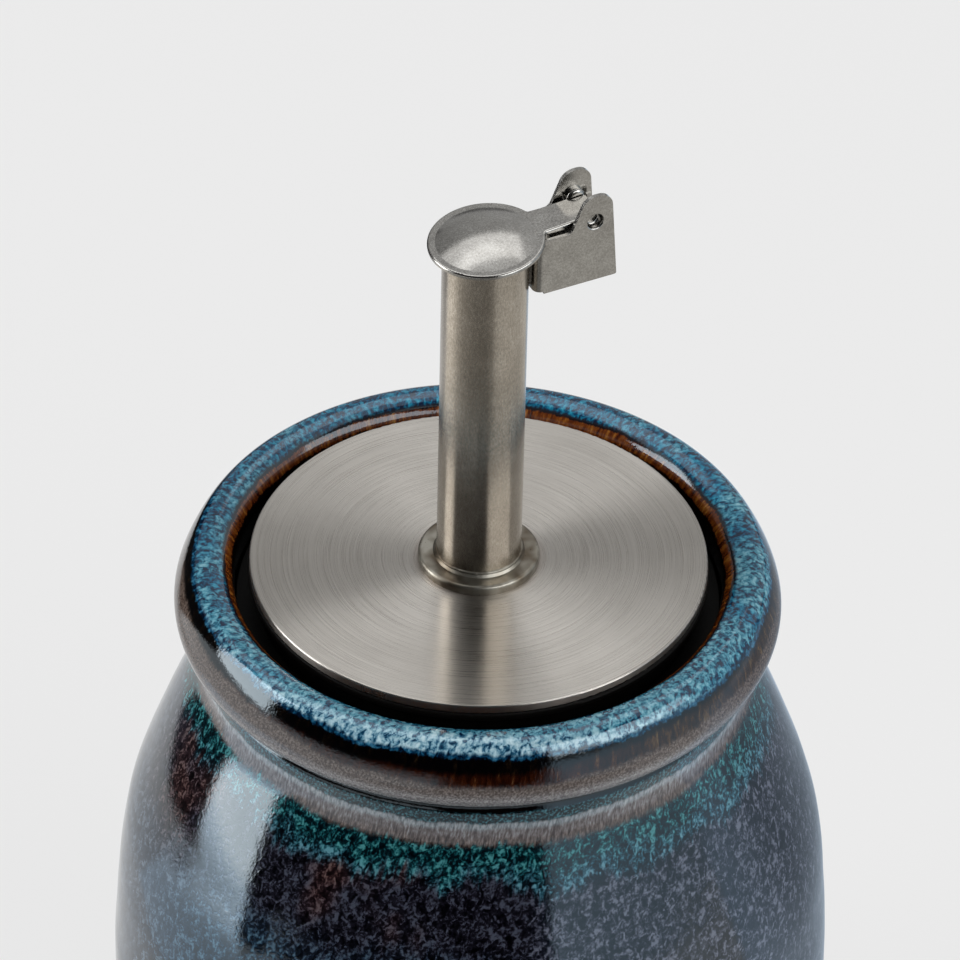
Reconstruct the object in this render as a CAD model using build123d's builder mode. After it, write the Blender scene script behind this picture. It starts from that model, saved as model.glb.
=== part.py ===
from build123d import *
import os
from math import cos, radians, sin, sqrt

os.makedirs("parts", exist_ok=True)

# A stoneware syrup jar with a flat steel stopper lid. A pouring tube stands in the
# middle of the lid, and a small domed flap, hinged in a sheet bracket, covers its mouth.
# Millimetres. +Z is up, the origin is under the middle of the jar's foot, and the
# flap's arm points along +X, so its pivot lies along Y.

# ---- jar ----
foot_recess = 1.6
foot_recess_radius = 35.0
foot_inner_radius = 36.4
foot_outer_radius = 41.0
heel_start = (42.0, 0.9)
belly = [
    (45.8, 5.6),
    (49.5, 15.0),
    (51.6, 27.0),
    (52.3, 40.5),
    (51.65, 53.5),
    (49.8, 67.5),
    (46.5, 77.5),
    (43.8, 84.5),
    (41.65, 89.4),
    (40.45, 92.2),
    (39.75, 94.1),
    (39.45, 95.4),
]
neck = (39.38, 96.3)
# The rolled rim, from the neck over the crown, as (radius, turn in degrees) of its arcs:
# the neck's cove, the tight cove under the rim, the roll, the sloping face and the crown.
rim_arcs = [(34.5, -8.0), (2.0, -54.0), (4.4, 78.0), (17.6, 16.0), (2.6, 57.8)]
bore_radius = 34.5
bore_top = 109.0
bore_bottom = 99.0
inner_belly = [
    (34.9, 96.2),
    (36.9, 91.0),
    (39.4, 85.0),
    (42.1, 78.5),
    (45.0, 69.0),
    (46.9, 55.0),
    (47.5, 40.5),
    (46.95, 28.5),
]
floor_corner_start = (45.7, 19.5)
floor_edge_radius = 31.5
floor_height = 8.0

# ---- stopper lid ----
disc_top = 113.5
disc_radius = 32.4
disc_thickness = 1.4
disc_edge_radius = 0.25
tube_hole_radius = 6.05

core_radius = 29.4
core_depth = 14.2
core_shoulder_radius = 31.0
core_shoulder_height = 1.8
core_shoulder_chamfer = 0.7
core_roof = 2.4
core_wall = 2.2
boss_radius = 10.5
boss_depth = 7.6

seal_lip_radius = 32.6
seal_lip_height = 1.2
seal_lip_round = 0.4
seal_sleeve_radius = 31.2
fin_radius = 34.2
fin_root = 1.9
fin_tip = 0.7
fin_depths = (6.4, 10.2)

# ---- spout ----
tube_radius = 6.0
tube_bore_radius = 5.0
tube_foot_depth = 16.6
thread_pitch = 1.0
thread_depth = 0.4
thread_groove_width = 0.8
thread_overcut = 0.1
thread_turns = 6
thread_start_depth = 16.1

collar_radius = 8.6
collar_height = 1.35
collar_round = 0.5
collar_weld_radius = 6.5
collar_weld_height = 1.85

washer_radius = 10.2
washer_thickness = 1.0
nut_across_flats = 17.0
nut_height = 4.4
nut_chamfer_inner = 8.2
nut_chamfer_outer = 10.2
nut_chamfer_height = 1.2

# ---- flap ----
flap_tilt = 4.5
flap_height = 56.05
sheet = 0.6
flange_radius = 8.1
dome_radius = 7.0
dome_rise = 1.6
arm_width = 5.1
arm_end = 16.1
arm_root_round = 0.8
arm_fold_round = 0.3
arm_side_start = 8.3
arm_side_depth = 2.3
arm_lobe_radius = 2.2
notch_margin = 0.05
mouth_below_flap_top = 0.30

# ---- hinge bracket ----
pivot_x = 14.9
pivot_height = 56.8
bracket_gap = 6.0
bracket_back = 6.0
bracket_bend_radius = 1.2
bracket_bottom = 46.85
web_notch = 0.35
blank_margin = 1.0
web_top = 54.8
plate_top = 55.75
plate_start = 7.25
plate_front_low = 18.4
plate_front_high = 17.35
ear_top = 61.05
ear_back_low = 11.25
ear_back_high = 13.45
ear_front_round = 2.1
ear_back_round = 2.2
ear_cove_round = 1.2
plate_corner_round = 0.3
pivot_radius = 1.45
pivot_clearance = 0.06
pivot_reach = 0.9
pivot_nose_round = 0.55
recess_radius = 1.15
recess_depth = 1.15
recess_mouth_round = 0.25
recess_floor_round = 0.4
weld_half_width = 1.7
weld_depth = 0.9
weld_margin = 0.7

# ---- derived ----
same = 0.01
disc_under = disc_top - disc_thickness
core_bottom = disc_under - core_depth
boss_bottom = disc_under - boss_depth
washer_bottom = boss_bottom - washer_thickness
nut_bottom = washer_bottom - nut_height
tube_foot = disc_top - tube_foot_depth
pivot_z = disc_top + pivot_height
plate_outer = bracket_gap / 2 + sheet

# The closed flap rises a little towards its hinge: this plane lies on its flange.
flap_plane = Plane(
    origin=(0, 0, disc_top + flap_height),
    x_dir=(cos(radians(flap_tilt)), 0, sin(radians(flap_tilt))),
    z_dir=(-sin(radians(flap_tilt)), 0, cos(radians(flap_tilt))),
)
pivot_local = flap_plane.to_local_coords(Vector(pivot_x, 0, pivot_z))
dome_sphere = (dome_radius**2 + dome_rise**2) / (2 * dome_rise)
dome_centre = dome_rise - dome_sphere


# %% jar
with BuildPart() as jar_body:
    with BuildSketch(Plane.XZ):
        with BuildLine():
            Polyline(
                (0, foot_recess),
                (foot_recess_radius, foot_recess),
                (foot_inner_radius, 0),
                (foot_outer_radius, 0),
                heel_start,
            )
            outline = Spline(heel_start, *belly, neck)
            for radius, turn in rim_arcs:
                outline = JernArc(outline @ 1, outline % 1, radius, turn)
            TangentArc(outline @ 1, (bore_radius, bore_top), tangent=outline % 1)
            Line((bore_radius, bore_top), (bore_radius, bore_bottom))
            inner = Spline((bore_radius, bore_bottom), *inner_belly, floor_corner_start)
            TangentArc(inner @ 1, (floor_edge_radius, floor_height), tangent=inner % 1)
            Line((floor_edge_radius, floor_height), (0, floor_height))
            Line((0, floor_height), (0, foot_recess))
        make_face()
    revolve(axis=Axis.Z)

# %% lid disc
with BuildPart() as lid_disc:
    with BuildSketch(Plane.XY.offset(disc_under)):
        Circle(disc_radius)
        Circle(tube_hole_radius, mode=Mode.SUBTRACT)
    extrude(amount=disc_thickness)
    rim_edges = lid_disc.edges().filter_by(GeomType.CIRCLE).filter_by(lambda e: e.radius > boss_radius)
    fillet(rim_edges, radius=disc_edge_radius)

# %% stopper core
with BuildPart() as plug_core:
    with BuildSketch(Plane.XZ):
        with BuildLine():
            Polyline(
                (tube_hole_radius, disc_under),
                (core_radius, disc_under),
                (core_radius, core_bottom + core_shoulder_height),
                (core_shoulder_radius, core_bottom + core_shoulder_height),
                (core_shoulder_radius, core_bottom + core_shoulder_chamfer),
                (core_shoulder_radius - core_shoulder_chamfer, core_bottom),
                (core_radius - core_wall, core_bottom),
                (core_radius - core_wall, disc_under - core_roof),
                (boss_radius, disc_under - core_roof),
                (boss_radius, boss_bottom),
                (tube_hole_radius, boss_bottom),
                close=True,
            )
        make_face()
    revolve(axis=Axis.Z)

# %% silicone ring
with BuildPart() as seal_ring:
    sleeve_bottom = core_bottom + core_shoulder_height
    with BuildSketch(Plane.XZ):
        with BuildLine():
            Polyline(
                (core_radius, sleeve_bottom),
                (seal_sleeve_radius, sleeve_bottom),
                (seal_sleeve_radius, disc_under - seal_lip_height),
                (seal_lip_radius, disc_under - seal_lip_height),
                (seal_lip_radius, disc_under),
                (core_radius, disc_under),
                close=True,
            )
        make_face()
        for depth in fin_depths:
            fin_z = disc_under - depth
            with BuildLine():
                Polyline(
                    (seal_sleeve_radius, fin_z - fin_root / 2),
                    (fin_radius, fin_z + fin_root / 2 - fin_tip),
                    (fin_radius, fin_z + fin_root / 2),
                    (seal_sleeve_radius, fin_z + fin_root / 2),
                    close=True,
                )
            make_face()
    revolve(axis=Axis.Z)
    lip_edges = seal_ring.edges().filter_by(GeomType.CIRCLE)
    lip_edges = lip_edges.filter_by(lambda e: abs(e.radius - seal_lip_radius) < same)
    fillet(lip_edges, radius=seal_lip_round)

# %% pouring tube
with BuildPart() as spout_tube:
    with BuildSketch(Plane.XY.offset(tube_foot)):
        Circle(tube_radius)
        Circle(tube_bore_radius, mode=Mode.SUBTRACT)
    extrude(amount=flap_height + tube_foot_depth + dome_radius)
    split(bisect_by=flap_plane.offset(-mouth_below_flap_top), keep=Keep.BOTTOM)
    with BuildSketch(Plane.XZ):
        for turn in range(thread_turns):
            groove_z = disc_top - thread_start_depth + turn * thread_pitch
            with BuildLine():
                Polyline(
                    (tube_radius + thread_overcut, groove_z - thread_groove_width / 2),
                    (tube_radius - thread_depth, groove_z),
                    (tube_radius + thread_overcut, groove_z + thread_groove_width / 2),
                    close=True,
                )
            make_face()
    revolve(axis=Axis.Z, mode=Mode.SUBTRACT)

# %% collar round the tube's foot
with BuildPart() as spout_collar:
    with BuildSketch(Plane.XZ):
        with BuildLine():
            Polyline(
                (tube_hole_radius, disc_top),
                (collar_radius, disc_top),
                (collar_radius, disc_top + collar_height),
                (collar_weld_radius, disc_top + collar_height),
                (tube_hole_radius, disc_top + collar_weld_height),
                close=True,
            )
        make_face()
    revolve(axis=Axis.Z)
    top_edge = spout_collar.edges().filter_by(lambda e: e.geom_type == GeomType.CIRCLE)
    top_edge = top_edge.filter_by(lambda e: abs(e.radius - collar_radius) < same).sort_by(Axis.Z)[-1]
    fillet(top_edge, radius=collar_round)

# %% clamp washer and nut under the stopper
with BuildPart() as clamp_washer:
    with BuildSketch(Plane.XY.offset(washer_bottom)):
        Circle(washer_radius)
        Circle(tube_hole_radius, mode=Mode.SUBTRACT)
    extrude(amount=washer_thickness)

with BuildPart() as clamp_nut:
    with BuildSketch(Plane.XY.offset(nut_bottom)):
        RegularPolygon(nut_across_flats / 2, 6, major_radius=False)
    extrude(amount=nut_height)
    with BuildSketch(Plane.XZ):
        with BuildLine():
            Polyline(
                (0, nut_bottom),
                (nut_chamfer_inner, nut_bottom),
                (nut_chamfer_outer, nut_bottom + nut_chamfer_height),
                (nut_chamfer_outer, washer_bottom),
                (0, washer_bottom),
                close=True,
            )
        make_face()
    revolve(axis=Axis.Z, mode=Mode.INTERSECT)
    with BuildSketch(Plane.XY.offset(nut_bottom)):
        Circle(tube_hole_radius)
    extrude(amount=nut_height, mode=Mode.SUBTRACT)

# %% domed flap with its folded arm
side_plane = Plane(origin=flap_plane.origin, x_dir=flap_plane.x_dir, z_dir=(0, -1, 0))
flap_axis = Axis(flap_plane.origin, flap_plane.z_dir)
dome_inner_sphere = dome_sphere - sheet
dome_inner_radius = sqrt(dome_inner_sphere**2 - (sheet + dome_centre) ** 2)
dome_mid = dome_radius / 2


def is_fold(edge):
    middle = flap_plane.to_local_coords(edge.center())
    return abs(abs(middle.Y) - arm_width / 2) < same and abs(middle.Z) < same


with BuildPart() as flap_cap:
    with BuildSketch(flap_plane):
        Circle(flange_radius)
        with Locations((arm_end / 2, 0)):
            Rectangle(arm_end, arm_width)
        root_corners = [v for v in vertices() if arm_root_round < v.X < flange_radius]
        fillet(root_corners, radius=arm_root_round)
    extrude(amount=-sheet)

    # The arm's sides fold down and end in round lobes about the pivot.
    with BuildSketch(side_plane):
        with Locations(((arm_side_start + pivot_local.X) / 2, -arm_side_depth / 2)):
            Rectangle(pivot_local.X - arm_side_start, arm_side_depth)
        with Locations((pivot_local.X, pivot_local.Z)):
            Circle(arm_lobe_radius)
        with Locations((pivot_local.X, arm_lobe_radius)):
            Rectangle(4 * arm_lobe_radius, 2 * arm_lobe_radius, mode=Mode.SUBTRACT)
    extrude(amount=arm_width / 2, both=True)
    fillet(flap_cap.edges().filter_by(is_fold), radius=arm_fold_round)
    with BuildSketch(side_plane):
        with Locations((arm_side_start + arm_end / 2 - blank_margin, -sheet - arm_lobe_radius)):
            Rectangle(arm_end, 2 * arm_lobe_radius)
        with Locations((arm_end + arm_lobe_radius, 0)):
            Rectangle(2 * arm_lobe_radius, 4 * arm_lobe_radius)
    extrude(amount=arm_width / 2 - sheet, both=True, mode=Mode.SUBTRACT)

    # Pressed dome, hollow underneath so that it settles over the tube's mouth.
    with BuildSketch(side_plane):
        with BuildLine():
            Polyline((0, dome_rise), (0, 0), (dome_radius, 0))
            ThreePointArc(
                (dome_radius, 0),
                (dome_mid, dome_centre + sqrt(dome_sphere**2 - dome_mid**2)),
                (0, dome_rise),
            )
        make_face()
    revolve(axis=flap_axis)
    with BuildSketch(side_plane):
        with BuildLine():
            Polyline(
                (0, dome_rise - sheet),
                (0, -2 * sheet),
                (dome_inner_radius, -2 * sheet),
                (dome_inner_radius, -sheet),
            )
            ThreePointArc(
                (dome_inner_radius, -sheet),
                (dome_mid, dome_centre + sqrt(dome_inner_sphere**2 - dome_mid**2)),
                (0, dome_rise - sheet),
            )
        make_face()
    revolve(axis=flap_axis, mode=Mode.SUBTRACT)

    # Round notches through both folds take the bracket's pivot dimples.
    for side in (-1, 1):
        fold_inside = side * (arm_width / 2 - sheet - notch_margin)
        with BuildSketch(Plane(origin=(pivot_x, fold_inside, pivot_z), z_dir=(0, side, 0))):
            Circle(pivot_radius + pivot_clearance)
        extrude(amount=sheet + 2 * notch_margin, mode=Mode.SUBTRACT)

# %% hinge bracket
def near(points, place):
    return [v for v in points if abs(v.X - place[0]) < same and abs(v.Y - place[1]) < same]


def ring_edges(piece, radius, distance):
    rings = piece.edges().filter_by(GeomType.CIRCLE)
    rings = rings.filter_by(lambda e: abs(e.radius - radius) < same)
    return rings.filter_by(lambda e: abs(abs(e.center().Y) - distance) < same)


with BuildPart() as hinge_bracket:
    bracket_length = plate_front_low + blank_margin - bracket_back
    with BuildSketch(Plane.XY.offset(disc_top + bracket_bottom)):
        with Locations((bracket_back + bracket_length / 2, 0)):
            Rectangle(bracket_length, 2 * plate_outer)
        back_corners = vertices().group_by(Axis.X)[0]
        fillet(back_corners, radius=bracket_bend_radius)
    extrude(amount=ear_top - bracket_bottom)
    with BuildSketch(Plane.XY.offset(disc_top + bracket_bottom)):
        with Locations((bracket_back + sheet + bracket_length / 2, 0)):
            Rectangle(bracket_length, bracket_gap)
        back_corners = vertices().group_by(Axis.X)[0]
        fillet(back_corners, radius=bracket_bend_radius - sheet)
    extrude(amount=ear_top - bracket_bottom, mode=Mode.SUBTRACT)

    # Outline of web, plates and ears, seen from the side.
    side_outline = [
        (bracket_back - blank_margin, bracket_bottom + web_notch),
        (plate_start, bracket_bottom + web_notch),
        (plate_start, bracket_bottom),
        (plate_front_low, bracket_bottom),
        (plate_front_high, ear_top),
        (ear_back_high, ear_top),
        (ear_back_low, plate_top),
        (plate_start, plate_top),
        (plate_start, web_top),
        (bracket_back - blank_margin, web_top),
    ]
    with BuildSketch(Plane(origin=(0, 0, disc_top), x_dir=(1, 0, 0), z_dir=(0, -1, 0))):
        with BuildLine():
            Polyline(*side_outline, close=True)
        make_face()
        fillet(near(vertices(), (plate_front_high, ear_top)), radius=ear_front_round)
        fillet(near(vertices(), (ear_back_high, ear_top)), radius=ear_back_round)
        fillet(near(vertices(), (ear_back_low, plate_top)), radius=ear_cove_round)
        fillet(near(vertices(), (plate_front_low, bracket_bottom)), radius=plate_corner_round)
    extrude(amount=2 * plate_outer, both=True, mode=Mode.INTERSECT)

    # Dimples pressed inward through both ears are the flap's pivots.
    for side in (-1, 1):
        ear_middle = side * (bracket_gap + sheet) / 2
        with BuildSketch(Plane(origin=(pivot_x, ear_middle, pivot_z), z_dir=(0, -side, 0))):
            Circle(pivot_radius)
        extrude(amount=sheet / 2 + pivot_reach)
    fillet(ring_edges(hinge_bracket, pivot_radius, bracket_gap / 2 - pivot_reach), radius=pivot_nose_round)
    for side in (-1, 1):
        with BuildSketch(Plane(origin=(pivot_x, side * plate_outer, pivot_z), z_dir=(0, -side, 0))):
            Circle(recess_radius)
        extrude(amount=recess_depth, mode=Mode.SUBTRACT)
    fillet(ring_edges(hinge_bracket, recess_radius, plate_outer), radius=recess_mouth_round)
    fillet(ring_edges(hinge_bracket, recess_radius, plate_outer - recess_depth), radius=recess_floor_round)

    # Seam weld filling the wedge between the flat web and the round tube.
    weld_low = disc_top + bracket_bottom + web_notch + weld_margin
    weld_high = disc_top + web_top - weld_margin
    with BuildSketch(Plane.XY.offset(weld_low)):
        with Locations((bracket_back + (sheet - weld_depth) / 2, 0)):
            Rectangle(weld_depth, 2 * weld_half_width)
        Circle(tube_radius, mode=Mode.SUBTRACT)
    extrude(amount=weld_high - weld_low)

# %% parts
pieces = {
    "jar_body": jar_body,
    "lid_disc": lid_disc,
    "plug_core": plug_core,
    "seal_ring": seal_ring,
    "spout_tube": spout_tube,
    "spout_collar": spout_collar,
    "clamp_washer": clamp_washer,
    "clamp_nut": clamp_nut,
    "flap_cap": flap_cap,
    "hinge_bracket": hinge_bracket,
}
for piece_name, piece in pieces.items():
    piece.part.label = piece_name
    export_step(piece.part, f"parts/{piece_name}.step")
    box = piece.part.bounding_box()
    print(piece_name, round(piece.part.volume, 1), box.min, box.max, len(piece.part.solids()))
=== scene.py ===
# %% [markdown]
# # A glazed syrup jar with a steel pouring lid
# This lesson dresses a finished CAD model in Blender. The CAD part is a stoneware jar, a steel stopper
# lid with an upright pouring tube, and a small hinged flap that keeps dust out of the tube.
# The shapes and the joints are already right, so most of the work here is about surfaces: how a potter's
# glaze runs and breaks, and how brushed, drawn and tumbled steel each catch the light.

import math

import bmesh
import bpy
from mathutils import Matrix, Vector


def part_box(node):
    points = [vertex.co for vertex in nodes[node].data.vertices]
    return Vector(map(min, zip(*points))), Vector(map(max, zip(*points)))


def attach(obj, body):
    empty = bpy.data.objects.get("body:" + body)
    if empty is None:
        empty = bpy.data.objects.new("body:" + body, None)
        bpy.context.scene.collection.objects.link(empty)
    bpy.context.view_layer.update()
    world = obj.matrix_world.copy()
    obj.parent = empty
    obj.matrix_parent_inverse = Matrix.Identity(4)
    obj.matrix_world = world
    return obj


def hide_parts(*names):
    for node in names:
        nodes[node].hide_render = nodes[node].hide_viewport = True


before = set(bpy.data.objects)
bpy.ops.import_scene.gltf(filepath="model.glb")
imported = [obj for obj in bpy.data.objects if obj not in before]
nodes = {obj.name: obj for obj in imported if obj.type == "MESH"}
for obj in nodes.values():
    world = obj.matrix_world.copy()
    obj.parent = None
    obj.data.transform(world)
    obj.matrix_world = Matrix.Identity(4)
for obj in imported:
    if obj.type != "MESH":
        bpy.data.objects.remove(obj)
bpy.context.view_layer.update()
scene = bpy.context.scene
MM = 0.001
print("pieces in the frame:", ", ".join(sorted(nodes)))

# %% [markdown]
# ## Two small helpers
# Colours are easier to talk about as the hex values of any paint program, but Blender mixes light in
# linear numbers, so one function turns one into the other.
# The second function adds a node to a material. A setting is a property of the node, and an input is
# either a plain value or another node whose first output is linked to it.


# %% Colour and node helpers
def linear(code):
    """An sRGB hex colour such as "8fa3b0" as linear red, green, blue and alpha."""
    parts = [int(code[i : i + 2], 16) / 255 for i in (0, 2, 4)]
    return (*[p / 12.92 if p <= 0.04045 else ((p + 0.055) / 1.055) ** 2.4 for p in parts], 1)


def add(tree, kind, inputs=None, stops=None, **settings):
    """Adds a node. stops are the places and colours of a colour ramp."""
    made = tree.nodes.new("ShaderNode" + kind)
    for name, value in settings.items():
        setattr(made, name, value)
    for name, value in (inputs or {}).items():
        if isinstance(value, bpy.types.Node):
            value = value.outputs[0]
        if isinstance(value, bpy.types.NodeSocket):
            tree.links.new(value, made.inputs[name])
        else:
            made.inputs[name].default_value = value
    if stops:
        points = made.color_ramp.elements
        while len(points) < len(stops):
            points.new(0.5)
        for point, (place, colour) in zip(points, stops):
            point.position = place
            point.color = linear(colour)
    return made


def new_material(name):
    """An empty node material, with its tree."""
    made = bpy.data.materials.new(name)
    made.use_nodes = True
    made.node_tree.nodes.clear()
    return made, made.node_tree


print("stoneware grey as linear light:", [round(c, 3) for c in linear("8c857c")[:3]])

# %% [markdown]
# ## The camera
# A long lens from a metre away, looking down at the lid from about 39 degrees, with the flap's hinge
# swung 27 degrees to the right. A camera is only a place and three directions: right, up and back.

# %% Camera
HEADING, DOWN, ROLL = math.radians(27), math.radians(39), math.radians(1.32)
LENS = 265.6
AWAY, LOOK_AT_HEIGHT = 1.0, 0.1135
NUDGE_SIDE, NUDGE_UP = 0.000182, 0.01077
right = Vector((math.cos(HEADING), -math.sin(HEADING), 0))
ahead = Vector((math.sin(HEADING), math.cos(HEADING), 0))
up = Vector((0, 0, 1))
look = ahead * math.cos(DOWN) - up * math.sin(DOWN)
lift = ahead * math.sin(DOWN) + up * math.cos(DOWN)
side = right * math.cos(ROLL) + lift * math.sin(ROLL)
top = lift * math.cos(ROLL) - right * math.sin(ROLL)

camera_data = bpy.data.cameras.new("studio_camera")
camera_data.lens = LENS
camera_data.clip_start, camera_data.clip_end = 0.01, 20
camera = bpy.data.objects.new("studio_camera", camera_data)
scene.collection.objects.link(camera)
scene.camera = camera
place = Vector((0, 0, LOOK_AT_HEIGHT)) - look * AWAY + side * NUDGE_SIDE + top * NUDGE_UP
camera.matrix_world = Matrix((
    (side.x, top.x, -look.x, place.x),
    (side.y, top.y, -look.y, place.y),
    (side.z, top.z, -look.z, place.z),
    (0, 0, 0, 1),
))
scene.view_settings.view_transform = "Standard"
print("camera stands at", [round(v, 3) for v in place])

# %% [markdown]
# ## The studio
# A product table is a pale sweep with soft boxes round it. Glaze and steel are mirrors, so what stands
# round the table matters as much as the lamps: a dark room beyond the table's near edge gives the glaze
# its deep blacks, and a grey wall behind keeps the steel from burning out.
# `aim` turns an azimuth (0 is behind the object, 90 to the right) and an elevation into a direction.


# %% Directions in the studio
def aim(azimuth, elevation):
    """A unit vector in the studio's own directions, in degrees."""
    a, e = math.radians(azimuth), math.radians(elevation)
    flat = right * math.sin(a) + ahead * math.cos(a)
    return flat * math.cos(e) + up * math.sin(e)


AIM_AT = Vector((0, 0, 0.1))
PALE = 0.88
print("the light from the left comes along", [round(v, 2) for v in aim(-95, 15)])

# %% [markdown]
# ### The table
# The floor is one big sheet of pale paper. Paper that is lit evenly from all round shows hardly any
# shading, so most of what the camera sees of it is its own pale level, and the rest is a matt surface that
# still takes the object's soft shadow.
# The polished glaze mirrors a smaller sheet, the table top, with the real table's edges. Beyond those edges
# the room is dark. The low card is the top of a paper shelf level with the rim: the rim's rounded face looks
# along it, so it mirrors paper almost up to its own level.

# %% Floor material
def seen_rays(tree):
    """1 for rays from the camera, off mirrors and through clear things, and 0 for light on matt surfaces."""
    rays = add(tree, "LightPath")
    straight, mirrored, through = (rays.outputs[f"Is {kind} Ray"] for kind in ("Camera", "Glossy", "Transmission"))
    seen = add(tree, "Math", {0: straight, 1: mirrored}, operation="MAXIMUM")
    return add(tree, "Math", {0: seen, 1: through}, operation="MAXIMUM")


PAPER, OWN_LEVEL_SHARE = 0.8, 0.85
floor_material, tree = new_material("pale_paper_floor")
share = add(tree, "Math", {0: seen_rays(tree), 1: OWN_LEVEL_SHARE}, operation="MULTIPLY")
paper = add(tree, "BsdfDiffuse", {"Color": (PAPER, PAPER, PAPER, 1)})
glow = add(tree, "Emission", {"Color": (PALE, PALE, PALE, 1), "Strength": 1})
both = add(tree, "MixShader", {0: share, 1: paper, 2: glow})
add(tree, "OutputMaterial", {"Surface": both})
print("the floor shows", OWN_LEVEL_SHARE, "of its own level to the camera")


# %% Floor and table top
def stage_piece(name, points, faces, material, reflected_only=True):
    """A piece of the studio. Most of them are seen only in reflections, as flags beside a real table are."""
    mesh = bpy.data.meshes.new(name)
    mesh.from_pydata(points, [], faces)
    mesh.materials.append(material)
    made = bpy.data.objects.new(name, mesh)
    scene.collection.objects.link(made)
    if reflected_only:
        made.visible_camera = made.visible_diffuse = made.visible_shadow = made.visible_transmission = False
    return made


def on_table(corners, height=0.0):
    """Points on the table from pairs of metres to the right and ahead."""
    return [right * x + ahead * y + up * height for x, y in corners]


HALF = 4.0
floor_corners = [(-HALF, -HALF), (HALF, -HALF), (HALF, HALF), (-HALF, HALF)]
floor = stage_piece("floor", on_table(floor_corners), [(0, 1, 2, 3)], floor_material, reflected_only=False)
floor.visible_glossy = False
table_edge = [(-0.33, -0.31), (0.42, -0.31), (0.5, 1.2), (-0.08, 1.2), (-0.14, 0.25), (-0.175, 0.143),
              (-0.191, 0.118), (-0.212, 0.094), (-0.263, 0.059), (-0.285, 0.033), (-0.31, 0.006), (-0.36, -0.132)]
table = stage_piece("table_top", on_table(table_edge), [tuple(range(len(table_edge)))], floor_material)
print("floor", 2 * HALF, "m wide; mirrored table", [round(v, 2) for v in table.dimensions])


# %% Cards
def plain_glow(name, level, tint=(1, 1, 1)):
    """A stage material of one even brightness."""
    material, tree = new_material(name)
    shine = add(tree, "Emission", {"Color": (*[level * c for c in tint], 1), "Strength": 1})
    add(tree, "OutputMaterial", {"Surface": shine})
    return material


def ring_card(name, azimuths, radii, height, material, steps=24):
    """A flat card curved round the jar."""
    points = []
    for radius in radii:
        for i in range(steps + 1):
            azimuth = azimuths[0] + (azimuths[1] - azimuths[0]) * i / steps
            points.append(aim(azimuth, 0) * radius + up * height)
    faces = [(i, i + 1, steps + 2 + i, steps + 1 + i) for i in range(steps)]
    return stage_piece(name, points, faces, material)


SHELF_ROUND = (-82, -170)
SHELF_TOP, SHELF_UNDER = 0.0985, 0.098
ring_card("shelf_top", SHELF_ROUND, (0.056, 0.3), SHELF_TOP, plain_glow("shelf_paper", PALE))
ring_card("shelf_underside", SHELF_ROUND, (0.0565, 0.2995), SHELF_UNDER, plain_glow("shelf_shade", 0.0))
print("paper shelf", round(SHELF_TOP / MM, 1), "mm up")

# %% [markdown]
# ### Paper that is not evenly lit
# Close to the left lamp the paper is several times brighter, and in the jar's own shadow and towards the
# dark room it is dimmer. Polished glaze shows all of that, so these sheets lie on the table top and carry
# their brightness at each corner as an attribute, which the material reads and blends in between.

# %% Graded pieces
def graded(name, points, faces, levels, tint=(1, 1, 1)):
    """A stage piece whose brightness is given at each of its points."""
    material, tree = new_material(name)
    level = add(tree, "Attribute", attribute_name="glow_level")
    shine = add(tree, "Emission", {"Color": (*tint, 1), "Strength": level.outputs["Fac"]})
    add(tree, "OutputMaterial", {"Surface": shine})
    made = stage_piece(name, points, faces, material)
    made.data.attributes.new("glow_level", "FLOAT", "POINT").data.foreach_set("value", levels)
    return made


# Each row of the lit paper: how far right it lies, its far and near ends, and its brightness.
SHEET_LIFT = 0.001
lit_rows = [(-0.12, 0.05, -0.09, 0.85), (-0.235, 0.06, -0.1, 1.4), (-0.305, 0.008, -0.115, 2.0),
            (-0.36, 0.045, -0.125, 2.9), (-0.47, 0.066, -0.142, 4.8)]
lit_points = [spot for x, far, near, _ in lit_rows for spot in ((x, far), (x, near))]
lit_levels = [level for *_, level in lit_rows for _ in range(2)]
lit_faces = [(2 * i, 2 * i + 1, 2 * i + 3, 2 * i + 2) for i in range(len(lit_rows) - 1)]
graded("paper_lit_by_the_lamp", on_table(lit_points, SHEET_LIFT), lit_faces, lit_levels, tint=(0.9, 1.0, 1.1))
print("lit paper from glow", lit_levels[0], "to", lit_levels[-1])


# %% Shadowed paper
def fade(value, low, high):
    """0 below low, 1 above high and smooth between."""
    t = min(max((value - low) / (high - low), 0), 1)
    return t * t * (3 - 2 * t)


# How soft the edges of the shade are, as shares of the sheet.
SIDE_EDGES, NEAR_EDGE, FAR_EDGE = (0, 0.35), (-0.3, 0.2), (0, 0.5)


def shaded_paper(name, azimuths, radii, deepest, height, tint=(1, 1, 1), steps=24, rings=10):
    """A sector of the table top that darkens smoothly from its own edges to its middle."""
    points, levels = [], []
    for j in range(rings + 1):
        out = j / rings
        for i in range(steps + 1):
            across = i / steps
            azimuth = azimuths[0] + (azimuths[1] - azimuths[0]) * across
            points.append(aim(azimuth, 0) * (radii[0] + (radii[1] - radii[0]) * out) + up * height)
            dark = fade(across, *SIDE_EDGES) * fade(1 - across, *SIDE_EDGES)
            dark *= fade(out, *NEAR_EDGE) * fade(1 - out, *FAR_EDGE)
            levels.append(PALE * (1 - (1 - deepest) * dark))
    row = steps + 1
    faces = [(j * row + i, j * row + i + 1, (j + 1) * row + i + 1, (j + 1) * row + i)
             for j in range(rings) for i in range(steps)]
    return graded(name, points, faces, levels, tint)


shaded_paper("jar_shadow", (12, 98), (0.07, 0.8), 0.4, SHEET_LIFT, tint=(0.8, 0.95, 1.12))
shaded_paper("dim_near_paper", (108, 242), (0.07, 0.5), 0.45, SHEET_LIFT / 2)
print("shadow and near paper placed")

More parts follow.
